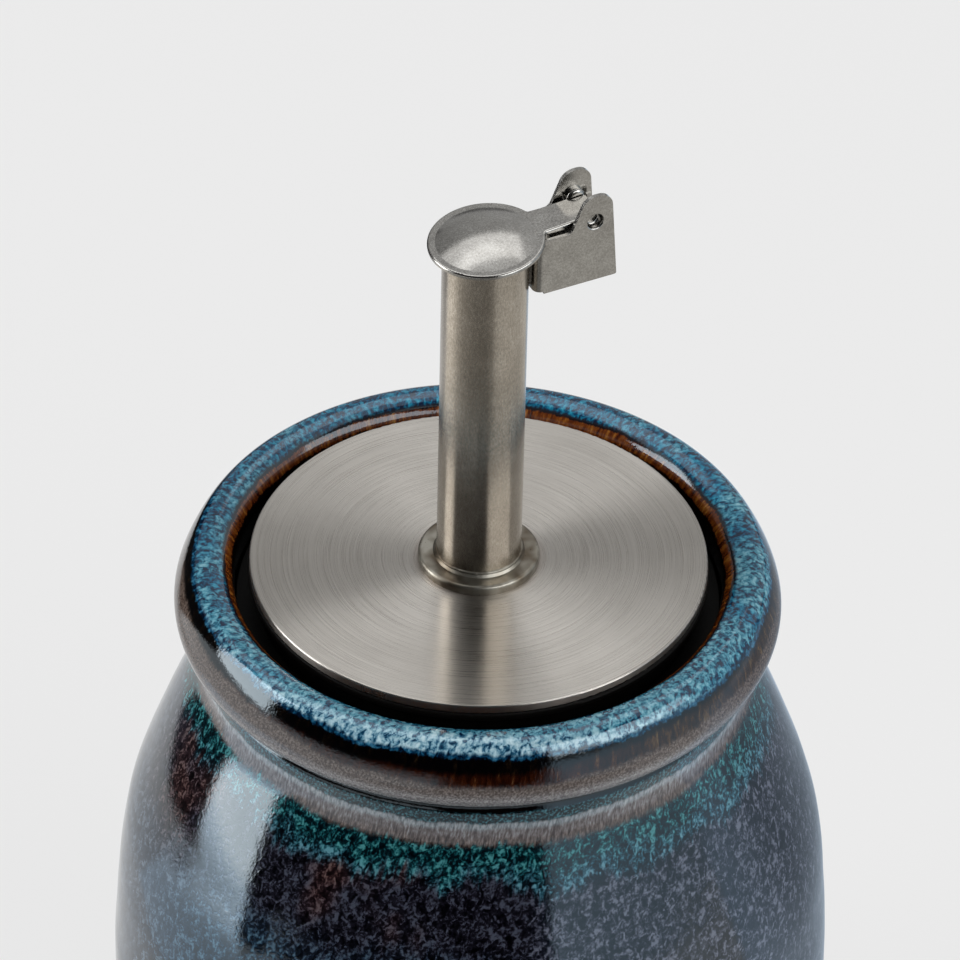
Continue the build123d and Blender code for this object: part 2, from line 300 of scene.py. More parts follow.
# %% [markdown]
# ### A flag under the tube
# The tube looks steeply down, so it mirrors the paper close to the jar and would come out flat and pale.
# A studio hides a grey card there. This one is a ring just above the rim, dark in front and paler
# to the sides, and rays from below pass through it, so the rim under it still sees the lamps.

# %% Flag
FLAG_HEIGHT, FLAG_RADII = 0.12, (0.034, 0.11)
# Pairs of azimuth and brightness.
flag_tones = [(40, 0.7), (79, 0.6), (100, 0.62), (130, 0.62), (144, 0.56), (158, 0.32), (171, 0.24), (198, 0.24),
              (226, 0.36), (241, 0.5), (257, 0.85), (270, 1.05), (290, 1.05)]
flag_points = [aim(azimuth, 0) * radius + up * FLAG_HEIGHT for radius in FLAG_RADII for azimuth, _ in flag_tones]
row = len(flag_tones)
flag_faces = [(i, i + 1, row + i + 1, row + i) for i in range(row - 1)]
flag_levels = [level for _, level in flag_tones] * len(FLAG_RADII)
flag = graded("flag_under_the_tube", flag_points, flag_faces, flag_levels, tint=(1, 0.97, 0.91))
tree = flag.data.materials[0].node_tree
output = next(node for node in tree.nodes if node.type == "OUTPUT_MATERIAL")
glow = output.inputs["Surface"].links[0].from_node
clear = add(tree, "BsdfTransparent")
side_seen = add(tree, "NewGeometry").outputs["Backfacing"]
one_sided = add(tree, "MixShader", {0: side_seen, 1: glow, 2: clear})
tree.links.new(one_sided.outputs[0], output.inputs["Surface"])
print("flag ring", len(flag_faces), "faces")

# %% [markdown]
# ### The air and the walls
# The world gives a little even light. To the camera and to mirrors it shows a pale backdrop instead.
# Round the table stand walls that only reflections see, and a dim ceiling hangs over the front. The dark
# walls in front of the object turn the glaze black there, two more keep the left shoulder dark beside the
# lamp, the two behind run from dim to grey, and the blue grey one on the right is a lit wall. A short dark
# piece hides its top under the lamp's lower edge.

# %% World
AIR = 0.12
world = bpy.data.worlds.new("studio_air")
scene.world = world
world.use_nodes = True
tree = world.node_tree
tree.nodes.clear()
shade = add(tree, "Mix", {0: seen_rays(tree), "A": (AIR, AIR, AIR, 1), "B": (PALE, PALE, PALE, 1)}, data_type="RGBA")
back = add(tree, "Background", {"Color": shade.outputs["Result"], "Strength": 1})
add(tree, "OutputWorld", {"Surface": back})
print("air light", AIR, "and pale backdrop", PALE)


# %% Walls
def wall(name, azimuths, elevations, radius, glows, tint=(1, 1, 1), steps=24):
    """A curved wall round the table. glows is its brightness at its two ends."""
    points, levels = [], []
    for elevation in elevations:
        for i in range(steps + 1):
            share = i / steps
            azimuth = azimuths[0] + (azimuths[1] - azimuths[0]) * share
            height = math.tan(math.radians(elevation)) * radius
            points.append(AIM_AT + aim(azimuth, 0) * radius + up * height)
            levels.append(glows[0] + (glows[1] - glows[0]) * share)
    faces = [(i, i + 1, steps + 2 + i, steps + 1 + i) for i in range(steps)]
    return graded(name, points, faces, levels, tint)


wall("dark_front", (154, 255), (-30, 23), 1.5, (0.004, 0.004))
wall("dim_upper_front", (158, 255), (23, 52), 1.5, (0.03, 0.03))
CEILING = 2.0
ceiling_corners = [(-4, -6), (4, -6), (4, -0.12), (-4, -0.12)]
ceiling_shade = plain_glow("ceiling_shade", 0.12)
stage_piece("dim_front_ceiling", on_table(ceiling_corners, CEILING), [(0, 1, 2, 3)], ceiling_shade)
wall("dark_left", (-79, -12), (-40, -10.5), 1.25, (0.01, 0.02))
wall("dark_left_above", (-77.5, -25), (-12, 16), 1.9, (0.01, 0.02))
wall("dim_back", (-75, 60), (-40, 2), 2.2, (0.06, 0.14))
wall("grey_back", (-75, 60), (2, 60), 2.2, (0.2, 0.75))
wall("blue_right", (60, 154), (-30, 18), 2.0, (0.5, 1.0), tint=(0.8, 0.92, 1.02))
wall("gap_by_the_lamp", (118, 160), (9, 24), 1.9, (0.5, 0.0))
print("eight walls stand round the table, under a dim ceiling", CEILING, "m up")

# %% [markdown]
# ### The lamps
# Three soft boxes: a tall narrow one low on the left that draws the long white patch down the shoulder, a
# wide one on the right, and one overhead behind the object. Each is set by how bright its face looks, and
# its power follows from its area.


# %% Soft boxes
def softbox(name, azimuth, elevation, distance, wide, tall, radiance):
    """A square-edged area lamp that faces the lid, from its brightness as seen."""
    data = bpy.data.lights.new(name, "AREA")
    data.shape = "RECTANGLE"
    data.size = 2 * distance * math.tan(math.radians(wide / 2))
    data.size_y = 2 * distance * math.tan(math.radians(tall / 2))
    data.energy = radiance * math.pi * data.size * data.size_y
    lamp = bpy.data.objects.new(name, data)
    scene.collection.objects.link(lamp)
    direction = aim(azimuth, elevation)
    lamp.location = AIM_AT + direction * distance
    lamp.rotation_mode = "QUATERNION"
    lamp.rotation_quaternion = direction.to_track_quat("Z", "Y")
    print(f"{name}: {data.size:.2f} x {data.size_y:.2f} m, {data.energy:.1f} W")
    return lamp


softbox("left_softbox", -91.5, 13.5, 1.3, 28, 53, 4.8)
softbox("right_softbox", 126, 32, 1.3, 54, 35, 3.0)
softbox("top_softbox", -18, 64, 1.5, 58, 32, 1.12)

# %% [markdown]
# ## The jar's outline
# A potter shapes a jar by its outline, turning it on the wheel. The CAD jar has that outline already: the
# points of its mesh that lie on the half plane y = 0. Read in order, they give the whole profile, from
# the inside floor up over the rim and down to the foot.


# %% Read the outline
def read_outline(mesh):
    """The jar's outline as (radius, height) in millimetres, from the inside floor to the foot."""
    spots = {}
    for v in mesh.vertices:
        if abs(v.co.y) < 1e-6 and v.co.x > 0:
            spots[v.index] = (round(v.co.x / MM, 3), round(v.co.z / MM, 3))
    joined = {}
    for edge in mesh.edges:
        a, b = (spots.get(i) for i in edge.vertices)
        if a and b and a != b:
            joined.setdefault(a, set()).add(b)
            joined.setdefault(b, set()).add(a)
    ends = [spot for spot, near in joined.items() if len(near) == 1]
    path = [max(ends, key=lambda spot: spot[1])]
    while True:
        onward = [spot for spot in joined[path[-1]] if spot not in path[-2:]]
        if not onward:
            return path
        path.append(onward[0])


outline = read_outline(nodes["jar_body"].data)
print(len(outline), "outline points, from", outline[0], "to", outline[-1])

# %% Smooth the outline
CORNER = math.radians(24)
FINE, COARSE, FINE_ABOVE = 0.5, 1.5, 94.0


def turn_at(path, i):
    """The angle by which the path turns at point i."""
    a = Vector(path[i]) - Vector(path[i - 1])
    b = Vector(path[i + 1]) - Vector(path[i])
    return abs(a.angle_signed(b))


def smooth(path):
    """Adds points between the outline's own on a curve through them, and keeps its corners sharp."""
    slopes = []
    for i in range(len(path)):
        before, after = Vector(path[max(i - 1, 0)]), Vector(path[min(i + 1, len(path) - 1)])
        here = Vector(path[i])
        if 0 < i < len(path) - 1 and turn_at(path, i) < CORNER:
            d0, d1 = (here - before).length, (after - here).length
            t = ((here - before) / d0 * d1 + (after - here) / d1 * d0) / (d0 + d1)
            slopes.append((t, t))
        else:
            slopes.append(((here - before).normalized(), (after - here).normalized()))
    made = []
    for i in range(len(path) - 1):
        a, b = Vector(path[i]), Vector(path[i + 1])
        length = (b - a).length
        spacing = FINE if min(a.y, b.y) > FINE_ABOVE else COARSE
        parts = max(1, round(length / spacing))
        for k in range(parts):
            t = k / parts
            # The weights of the two points and of the curve's slopes at them.
            h = (2 * t**3 - 3 * t**2 + 1, t**3 - 2 * t**2 + t, 3 * t**2 - 2 * t**3, t**3 - t**2)
            made.append(a * h[0] + slopes[i][1] * length * h[1] + b * h[2] + slopes[i + 1][0] * length * h[3])
    made.append(Vector(path[-1]))
    return made


profile = smooth(outline)
crown = max(range(len(profile)), key=lambda i: profile[i].y)
run_length = [0.0]
for a, b in zip(profile, profile[1:]):
    run_length.append(run_length[-1] + (b - a).length)
run_length = [length - run_length[crown] for length in run_length]
print(len(profile), "points; rim crown at radius", round(profile[crown].x, 1), "mm")
print("outside run", round(run_length[-1], 1), "mm")

# %% Turn the jar
SEGMENTS = 256
RUN_RADIUS = 45.0
SLANT = 0.0035
GLAZE_END = 117.6
GROOVE_AT, GROOVE_DEEP, GROOVE_WIDE = 15.7, 0.8, 0.5
RIDGE, RIDGE_STARTS, RIDGE_ENDS = 0.05, (30, 50), (104, 112)
LONG_WAVE, SHORT_WAVE = 13, 7.3
ROLL_OUT, ROLL_AT, ROLL_WIDE = 0.12, GLAZE_END - 1.2, 0.9
CAP_RINGS, CAP_PATTERN = (0.66, 0.33), 0.6


def turned_jar(name):
    """The jar as turned on a wheel, with faint throwing ridges, and where each point lies in the glaze's run."""
    bm = bmesh.new()
    run = []
    rings = []
    for spot, length in zip(profile, run_length):
        ridge = RIDGE * fade(length, *RIDGE_STARTS) * (1 - fade(length, *RIDGE_ENDS))
        glaze_roll = ROLL_OUT * math.exp(-(((length - ROLL_AT) / ROLL_WIDE) ** 2))
        groove = GROOVE_DEEP * math.exp(-(((length - GROOVE_AT) / GROOVE_WIDE) ** 2))
        ring = []
        for k in range(SEGMENTS):
            angle = 2 * math.pi * k / SEGMENTS
            wave = math.sin(length * 2 * math.pi / LONG_WAVE + angle)
            wave += 0.5 * math.sin(length * 2 * math.pi / SHORT_WAVE - 2 * angle)
            radius = spot.x + ridge * 0.5 * wave + glaze_roll - groove
            ring.append(bm.verts.new((radius * math.cos(angle) * MM, radius * math.sin(angle) * MM, spot.y * MM)))
            lean = angle + length * SLANT
            run.append((RUN_RADIUS * math.cos(lean), RUN_RADIUS * math.sin(lean), length))
        rings.append(ring)
    for i in range(len(rings) - 1):
        clay = run_length[i] >= GLAZE_END
        for k in range(SEGMENTS):
            n = (k + 1) % SEGMENTS
            face = bm.faces.new((rings[i][k], rings[i][n], rings[i + 1][n], rings[i + 1][k]))
            face.material_index = 1 if clay else 0
            face.smooth = True
    for ring, height in ((rings[0], profile[0].y), (rings[-1], profile[-1].y)):
        inner = ring
        clay = ring is rings[-1]
        end = run_length[-1 if clay else 0]
        for share in CAP_RINGS:
            circle = [bm.verts.new((v.co.x * share, v.co.y * share, height * MM)) for v in ring]
            run.extend((CAP_PATTERN * v.co.x / MM, CAP_PATTERN * v.co.y / MM, end) for v in circle)
            for k in range(SEGMENTS):
                n = (k + 1) % SEGMENTS
                order = (inner[n], inner[k], circle[k], circle[n])
                face = bm.faces.new(order[::-1] if clay else order)
                face.smooth, face.material_index = True, int(clay)
            inner = circle
        cap = bm.faces.new(inner[::-1] if clay else inner)
        cap.smooth, cap.material_index = True, int(clay)
    bm.normal_update()
    mesh = bpy.data.meshes.new(name)
    bm.to_mesh(mesh)
    bm.free()
    lean = mesh.attributes.new("glaze_run", "FLOAT_VECTOR", "POINT")
    lean.data.foreach_set("vector", [c for point in run for c in point])
    made = bpy.data.objects.new(name, mesh)
    scene.collection.objects.link(made)
    return made


jar = turned_jar("stoneware_jar")
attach(jar, "jar")
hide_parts("jar_body")
print("turned jar:", len(jar.data.polygons), "faces")

# %% [markdown]
# ## The glaze
# A reactive glaze is two glazes over each other that melt together in the kiln. It is pale blue where it
# lies thick, runs in teal curls where it slides off the shoulder, and turns to dark iron brown where it is
# thin, as on the rim's edges. All of that follows one number: how far a place lies along the glaze's run,
# from the rim's crown outward and down. The mesh carries it in millimetres as `glaze_run`, together with
# the way round the jar, so a noise texture of scale 1 has specks about a millimetre wide.

# %% Where the glaze runs
glaze, tree = new_material("reactive_stoneware_glaze")
spot = add(tree, "Attribute", attribute_name="glaze_run")
run = add(tree, "SeparateXYZ", {0: spot.outputs["Vector"]}).outputs["Z"]
short_drop = add(tree, "VectorMath", {0: spot.outputs["Vector"], 1: (1, 1, 0.8)}, operation="MULTIPLY")
long_drop = add(tree, "VectorMath", {0: spot.outputs["Vector"], 1: (1, 1, 0.28)}, operation="MULTIPLY")
teeth = add(tree, "VectorMath", {0: spot.outputs["Vector"], 1: (1, 1, 0.12)}, operation="MULTIPLY")
# Nearly all values of a noise lie between 0.3 and 0.7.
NOISE_MIDDLE = {"From Min": 0.3, "From Max": 0.7}
FINGER_WIDTH, DRIFT_WIDTH = 1 / 1.1, 1 / 0.11
jag = add(tree, "TexNoise", {"Vector": teeth, "Scale": 1 / FINGER_WIDTH, "Detail": 4, "Roughness": 0.65})
jag = add(tree, "MapRange", {"Value": jag, **NOISE_MIDDLE, "To Min": -1, "To Max": 1})
drift = add(tree, "TexNoise", {"Vector": spot.outputs["Vector"], "Scale": 1 / DRIFT_WIDTH, "Detail": 2})
drift = add(tree, "MapRange", {"Value": drift, **NOISE_MIDDLE, "To Min": -1, "To Max": 1})
print("fingers of glaze about", round(FINGER_WIDTH, 1), "mm wide, slow drift about", round(DRIFT_WIDTH), "mm")


# %% How a layer is poured
def moved(along, *shifts):
    """The run moved by so many millimetres where a pattern or a side is 1. shifts are pairs of the two."""
    for pattern, by in shifts:
        along = add(tree, "Math", {0: pattern, 1: by, 2: along}, operation="MULTIPLY_ADD")
    return along


def ragged(small, slow):
    """The run with edges that wander: small is the height of the teeth and slow the drift, in mm."""
    return moved(run, (jag, small), (drift, slow))


def poured(under, over, along, start, end):
    """Lays one colour over another: none of it before start and all of it after end."""
    part = add(tree, "MapRange", {"Value": along, "From Min": start, "From Max": end})
    part.interpolation_type = "SMOOTHSTEP"
    mixed = add(tree, "Mix", {0: part, "A": under, "B": over}, data_type="RGBA")
    return mixed.outputs["Result"]


def towards(direction):
    """1 on the side of the jar that faces a direction, 0 a quarter turn away and -1 on the far side."""
    scaled = tuple(direction / RUN_RADIUS)
    return add(tree, "VectorMath", {0: spot.outputs["Vector"], 1: scaled}, operation="DOT_PRODUCT").outputs["Value"]


near_side = towards(-ahead)
left_side = add(tree, "Math", {0: towards(-right), 1: 0}, operation="MAXIMUM")
right_side = add(tree, "Math", {0: towards(right), 1: 0}, operation="MAXIMUM")
RIM_TEETH, NECK_TEETH, FINGERS = 0.3, 0.2, 1.7
rim_run = ragged(RIM_TEETH, 0.35)
neck_run = ragged(NECK_TEETH, 0.3)
finger_run = ragged(FINGERS, 1.4)
print("teeth on the rim's edges", RIM_TEETH, "mm, fingers on the shoulder", FINGERS, "mm")

# %% [markdown]
# ### The rim
# The rim's crown is nearly white on the side towards the camera, blue at the sides and deep blue on the far
# side, freckled with teal where bubbles broke and healed. The outer edge deepens before the glaze thins to
# black, and then to amber where the clay's iron shines through.

# %% Rim colours
FRECKLE = 1 / 1.1
freckle = add(tree, "TexNoise", {
    "Vector": spot.outputs["Vector"], "Scale": 1 / FRECKLE, "Detail": 5, "Roughness": 0.62, "Distortion": 0.4})
pale = add(tree, "ValToRGB", {0: freckle}, stops=[
    (0.37, "082c4a"), (0.43, "2a6484"), (0.48, "76a6bc"), (0.55, "a6cad8"), (0.66, "cae6ee")])
blue = add(tree, "ValToRGB", {0: freckle}, stops=[
    (0.37, "00183a"), (0.43, "043a5c"), (0.49, "26768f"), (0.56, "5aa2b8"), (0.66, "90c2d0")])
deep = add(tree, "ValToRGB", {0: freckle}, stops=[
    (0.36, "001030"), (0.44, "00284c"), (0.51, "00587c"), (0.59, "1486a8"), (0.68, "44a6c2")])
outer = add(tree, "ValToRGB", {0: freckle}, stops=[
    (0.38, "000a20"), (0.48, "06304c"), (0.56, "1c597c"), (0.66, "4a88a6")])
pale_run = moved(rim_run, (left_side, -2.5), (right_side, -5.0))
turned_away = moved(drift, (near_side, -1))
crown = poured(blue, pale, pale_run, -1.4, 0.6)
crown = poured(crown, deep, turned_away, -0.5, 0.6)
far_left = add(tree, "MapRange", {"Value": left_side, "From Min": 0.7, "From Max": 0.92})
edge_run = moved(rim_run, (near_side, -0.75), (far_left, 0.5), (right_side, -1.1))
crown = poured(crown, outer, edge_run, 1.6, 2.2)
print("freckles about", round(FRECKLE, 1), "mm across")

# %% Colours inside and under the crown
AMBER_STREAK, SAND = 1 / 1.1, 1 / 3
amber_grain = add(tree, "TexNoise", {"Vector": long_drop, "Scale": 1 / AMBER_STREAK, "Detail": 4, "Roughness": 0.7})
thin = add(tree, "ValToRGB", {0: amber_grain}, stops=[(0.5, "020102"), (0.62, "0c0603"), (0.74, "2e2416")])
amber = add(tree, "ValToRGB", {0: amber_grain}, stops=[
    (0.36, "150401"), (0.5, "290d03"), (0.62, "3e1d0b"), (0.74, "74593a")])
tan = add(tree, "ValToRGB", {0: amber_grain}, stops=[
    (0.36, "180d06"), (0.5, "352213"), (0.62, "554025"), (0.74, "857048")])
inner_amber = add(tree, "ValToRGB", {0: amber_grain}, stops=[
    (0.36, "3a1408"), (0.5, "6e3512"), (0.6, "93571f"), (0.72, "b98642")])
inside = add(tree, "ValToRGB", {0: amber_grain}, stops=[(0.4, "040201"), (0.6, "120906"), (0.75, "2a150c")])
sandy_grain = add(tree, "TexNoise", {
    "Vector": spot.outputs["Vector"], "Scale": 1 / SAND, "Detail": 3, "Roughness": 0.75})
brown_sand = add(tree, "ValToRGB", {0: sandy_grain}, stops=[(0.36, "3a2c25"), (0.5, "584a42"), (0.62, "7c6f68")])
painted_reflection_sand = add(tree, "ValToRGB", {0: sandy_grain}, stops=[(0.36, "615c5b"), (0.5, "838081"), (0.62, "a8a6a7")])
# The grey sand towards the lower edge of the rim's face is painted reflection of the pale table; the brown sandy
# grain is the glaze's own.
sandy = poured(brown_sand, painted_reflection_sand, run, 8.0, 11.2)
print("amber streaks about", round(AMBER_STREAK, 1), "mm wide, sandy grains about", round(SAND, 1), "mm")

# %% [markdown]
# ### Neck, shoulder and body
# Under the rim the groove's shade is painted in as a thin dark line. Below it lies a teal grey strip, and then
# the glaze has pulled thin round the neck and left a lilac brown band with fine upright runs. On the shoulder
# the teal comes back in curls, and further down iron brown and purple grey flecks cover the body.
# Curls and flecks share one level: a slow noise for the curls with a finer one for the specks on top.

# %% Neck colours
STREAK = 1 / 2.6
streak = add(tree, "TexNoise", {"Vector": long_drop, "Scale": 1 / STREAK, "Detail": 3, "Roughness": 0.65})
lilac = add(tree, "ValToRGB", {0: streak}, stops=[
    (0.35, "4c4344"), (0.48, "68605f"), (0.58, "7d797b"), (0.7, "9c9da2")])
bare_neck = add(tree, "ValToRGB", {0: streak}, stops=[
    (0.35, "2f2423"), (0.48, "51443f"), (0.58, "6b5d58"), (0.7, "857973")])
milky_edge = add(tree, "ValToRGB", {0: streak}, stops=[(0.35, "626a70"), (0.5, "8b9298"), (0.66, "aab1b6")])
print("upright runs about", round(STREAK, 1), "mm wide")

# %% Shoulder and body colours
CURL, SPECK, CURL_SHARE = 1 / 0.95, 1 / 2.4, 0.66
curl = add(tree, "TexNoise", {
    "Vector": short_drop, "Scale": 1 / CURL, "Detail": 2.5, "Roughness": 0.6, "Distortion": 0.8})
speck = add(tree, "TexNoise", {
    "Vector": spot.outputs["Vector"], "Scale": 1 / SPECK, "Detail": 2, "Roughness": 0.55})
fine = add(tree, "Math", {0: speck, 1: 1 - CURL_SHARE}, operation="MULTIPLY")
mottle = moved(fine, (curl, CURL_SHARE))
mottle = add(tree, "MapRange", {"Value": mottle, "From Min": 0.36, "From Max": 0.63})
slate = add(tree, "ValToRGB", {0: speck}, stops=[(0.38, "00060a"), (0.5, "0c2a34"), (0.64, "44747f")])
teal = add(tree, "ValToRGB", {0: mottle}, stops=[
    (0.05, "000409"), (0.3, "02131a"), (0.5, "072b32"), (0.7, "1a555b"), (0.92, "4b9296")])
cyan = add(tree, "ValToRGB", {0: mottle}, stops=[
    (0.05, "00040a"), (0.3, "07161f"), (0.5, "1c3f4c"), (0.7, "37677a"), (0.92, "6497a8")])
fleck = add(tree, "ValToRGB", {0: mottle}, stops=[
    (0.05, "000002"), (0.3, "08070d"), (0.5, "17161f"), (0.7, "2d2e3a"), (0.92, "454a58")])
brown = add(tree, "ValToRGB", {0: mottle}, stops=[
    (0.05, "0b0506"), (0.3, "1a0e10"), (0.5, "2d1d1e"), (0.7, "44302f"), (0.92, "665351")])
veins = add(tree, "ValToRGB", {0: mottle}, stops=[
    (0.05, "01020a"), (0.3, "0e111c"), (0.5, "232631"), (0.7, "434654"), (0.92, "6b7080")])
milky = add(tree, "ValToRGB", {0: mottle}, stops=[
    (0.05, "0e1628"), (0.3, "1d2738"), (0.5, "2c3848"), (0.7, "3e4a59"), (0.92, "5d6a79")])
blue_fleck = add(tree, "ValToRGB", {0: mottle}, stops=[
    (0.05, "02050c"), (0.3, "0a1420"), (0.5, "162738"), (0.7, "2b4458"), (0.92, "4e7084")])
print("curls about", round(CURL, 1), "mm, specks about", round(SPECK, 1), "mm")

# %% [markdown]
# ### Pouring the layers
# The layers go on in the order of the run, from inside the mouth outward: dark inside, an amber line, the
# blue crown, black, amber and sand on the rim's face (its sand turns grey towards the lower edge as painted
# reflection), then the groove's painted shade, slate, lilac, teal and the dark body.

# %% Body and rim mixtures
PATCH = 1 / 0.055
away_left = moved(left_side, (near_side, -1))
patch = add(tree, "TexNoise", {
    "Vector": spot.outputs["Vector"], "Scale": 1 / PATCH, "Detail": 3, "Roughness": 0.55})
brown_here = moved(patch, (far_left, 0.3))
body = poured(fleck, brown, brown_here, 0.57, 0.73)
low_body = poured(blue_fleck, milky, away_left, -0.2, 0.4)
body = poured(body, low_body, finger_run, 37, 48)
body = poured(body, veins, right_side, 0.28, 0.36)
body = poured(body, milky, away_left, 0.45, 1.0)
shoulder = poured(teal, cyan, finger_run, 25, 29)
amber = poured(amber, tan, right_side, 0.3, 0.8)
amber_run = moved(rim_run, (left_side, 0.6), (right_side, 1.6))
left_squared = add(tree, "Math", {0: left_side, 1: left_side}, operation="MULTIPLY")
right_squared = add(tree, "Math", {0: right_side, 1: right_side}, operation="MULTIPLY")
face_run = moved(rim_run, (left_squared, 3.4), (right_squared, 1.5))
facing = add(tree, "MapRange", {"Value": near_side, "From Min": 0.93, "From Max": 0.99})
body_run = moved(finger_run, (left_side, 2.6), (facing, 2.2))
print("patches of brown about", round(PATCH), "mm across")

# %% Layers
# Each layer: its colour, the run it follows, and where along it the layer starts and covers, in millimetres.
inner_line, groove_shadow = linear("1c1418"), linear("060202")
layers = [
    (inner_amber, neck_run, -4.9, -4.5),
    (inner_line, neck_run, -3.3, -3.0),
    (crown, neck_run, -2.9, -2.2),
    (thin, edge_run, 2.35, 2.8),
    (amber, amber_run, 5.2, 6.4),
    (sandy, face_run, 7.1, 8.1),
    # painted shade: the dark line in the groove under the rim
    (groove_shadow, run, 14.6, 14.9),
    (slate, run, 16.3, 16.7),
    (milky_edge, neck_run, 18.3, 18.9),
    (lilac, neck_run, 19.2, 20.2),
    (bare_neck, neck_run, 20.6, 22.0),
    (teal, neck_run, 22.0, 23.2),
    (shoulder, finger_run, 23, 24),
    (body, body_run, 28.6, 31.4),
]
colour = inside
for layer, along, start, end in layers:
    colour = poured(colour, layer, along, start, end)
print(len(layers), "glaze layers along", round(run_length[-1]), "mm of run")

# %% [markdown]
# ### The glaze's shine
# A glaze rich in metal oxides bends light more than window glass, so its IOR is about 1.7. The thick milky
# layer tints what it mirrors face on towards blue. Fine sand in the clay shows through on the rim's thin
# lower face as a grain of about 0.3 mm, and everywhere else the surface is smooth with faint dimples.

# %% Glaze shine
GRAIN_HEIGHT, GRAIN_ELSEWHERE = 0.02, 0.15
FACE_STARTS, FACE_ENDS = (4, 7), (13, 15)
on_face = add(tree, "MapRange", {"Value": run, "From Min": FACE_STARTS[0], "From Max": FACE_STARTS[1]})
off_face = add(tree, "MapRange", {
    "Value": run, "From Min": FACE_ENDS[0], "From Max": FACE_ENDS[1], "To Min": 1, "To Max": GRAIN_ELSEWHERE})
amount = add(tree, "Math", {0: on_face, 1: off_face}, operation="MULTIPLY")
relief = add(tree, "Math", {0: sandy_grain, 1: amount}, operation="MULTIPLY")
relief = moved(relief, (freckle, 0.25), (mottle, 0.35))
bump = add(tree, "Bump", {"Height": relief, "Strength": 1.0, "Distance": GRAIN_HEIGHT * MM})
shine = add(tree, "BsdfPrincipled", {
    "Base Color": colour, "Roughness": 0.07, "IOR": 1.7, "Specular Tint": (0.74, 0.9, 1.0, 1), "Normal": bump})
add(tree, "OutputMaterial", {"Surface": shine})
jar.data.materials.append(glaze)
print("glaze nodes:", len(tree.nodes))

# %% [markdown]
# ### Bare clay
# The foot ring is wiped clean before firing, or the jar would stick to the kiln shelf. Fired stoneware is
# matt and a little gritty, with darker grains of fireclay.

# %% Bare clay
def specks(size):
    """The scale of a noise in object coordinates, which are metres, for specks of a size in millimetres."""
    return 1 / (size * MM)


GROG = 1 / 0.9
clay, tree = new_material("bare_stoneware_clay")
here = add(tree, "TexCoord").outputs["Object"]
grog = add(tree, "TexNoise", {"Vector": here, "Scale": specks(GROG), "Detail": 5, "Roughness": 0.7})
tone = add(tree, "ValToRGB", {0: grog}, stops=[(0.35, "8f7f6c"), (0.5, "b3a48f"), (0.66, "c9bda9")])
bump = add(tree, "Bump", {"Height": grog, "Strength": 0.6, "Distance": 0.12 * MM})
shine = add(tree, "BsdfPrincipled", {"Base Color": tone, "Roughness": 0.85, "Normal": bump})
add(tree, "OutputMaterial", {"Surface": shine})
jar.data.materials.append(clay)
print("grains of clay about", round(GROG, 1), "mm")

# %% [markdown]
# ## The lid's disc
# The disc was spun against an abrasive, so its scratches are circles round the middle. Such scratches throw
# light across themselves: every lamp draws a fan from the centre outward. In the shader that is an
# anisotropic highlight whose tangent runs round the disc, turned a quarter so the light spreads radially.
# Real scratches are a few hundredths of a millimetre wide; here they are 0.12 mm, the finest that shows.


# %% Disc steel
def dress(name, material):
    """Gives a CAD piece its finished material."""
    mesh = nodes[name].data
    mesh.materials.clear()
    mesh.materials.append(material)


SCRATCH, SCRATCH_CHANGE, DISC_CLOUD = 0.12, 1.3, 100 / 7
STAIN_FROM, STAIN_TO = 8.4, 9.8
lid_steel, tree = new_material("circular_brushed_stainless")
here = add(tree, "TexCoord").outputs["Object"]
place_on = add(tree, "SeparateXYZ", {0: here})
flat = add(tree, "CombineXYZ", {"X": place_on.outputs["X"], "Y": place_on.outputs["Y"]})
out = add(tree, "VectorMath", {0: flat}, operation="LENGTH").outputs["Value"]
way = add(tree, "VectorMath", {0: flat}, operation="NORMALIZE")
rings = add(tree, "Math", {0: out, 1: 1 / (SCRATCH * MM)}, operation="MULTIPLY")
ring_way = add(tree, "VectorMath", {0: way, 1: (SCRATCH_CHANGE, SCRATCH_CHANGE, 0)}, operation="MULTIPLY")
ring_up = add(tree, "CombineXYZ", {"Z": rings})
ring_spot = add(tree, "VectorMath", {0: ring_way, 1: ring_up}, operation="ADD")
scratch = add(tree, "TexNoise", {"Vector": ring_spot, "Scale": 1, "Detail": 3, "Roughness": 0.7})
cloud = add(tree, "TexNoise", {"Vector": here, "Scale": specks(DISC_CLOUD), "Detail": 3, "Roughness": 0.5})
both = add(tree, "Math", {0: cloud, 1: 0.45, 2: scratch}, operation="MULTIPLY_ADD")
tone = add(tree, "ValToRGB", {0: both}, stops=[(0.5, "a29e98"), (0.72, "b2aea8"), (0.92, "bfbbb5")])
stain = add(tree, "MapRange", {
    "Value": out, "From Min": STAIN_FROM * MM, "From Max": STAIN_TO * MM, "To Min": 0.4, "To Max": 0})
stain = add(tree, "Math", {0: stain, 1: cloud}, operation="MULTIPLY")
tone = add(tree, "Mix", {0: stain, "A": tone, "B": linear("7a5236")}, data_type="RGBA").outputs["Result"]
rough = add(tree, "MapRange", {"Value": scratch, **NOISE_MIDDLE, "To Min": 0.26, "To Max": 0.31})
bump = add(tree, "Bump", {"Height": scratch, "Strength": 0.4, "Distance": 0.001 * MM})
tangent = add(tree, "Tangent", direction_type="RADIAL", axis="Z")
shine = add(tree, "BsdfPrincipled", {
    "Base Color": tone, "Metallic": 1, "Roughness": rough, "Anisotropic": 0.95, "Anisotropic Rotation": 0.25,
    "Tangent": tangent, "Normal": bump})
add(tree, "OutputMaterial", {"Surface": shine})
dress("lid_disc", lid_steel)
print("scratches", SCRATCH, "mm apart; brown heat stain fades out", STAIN_TO, "mm from the middle")

# %% [markdown]
# ## The pouring tube and its collar
# Drawn tube is polished along its length and then lightly tumbled, which leaves a satin grain with a slight
# lengthwise pull. The collar was welded on, so it carries a thin brown heat stain and a bumpy bead.

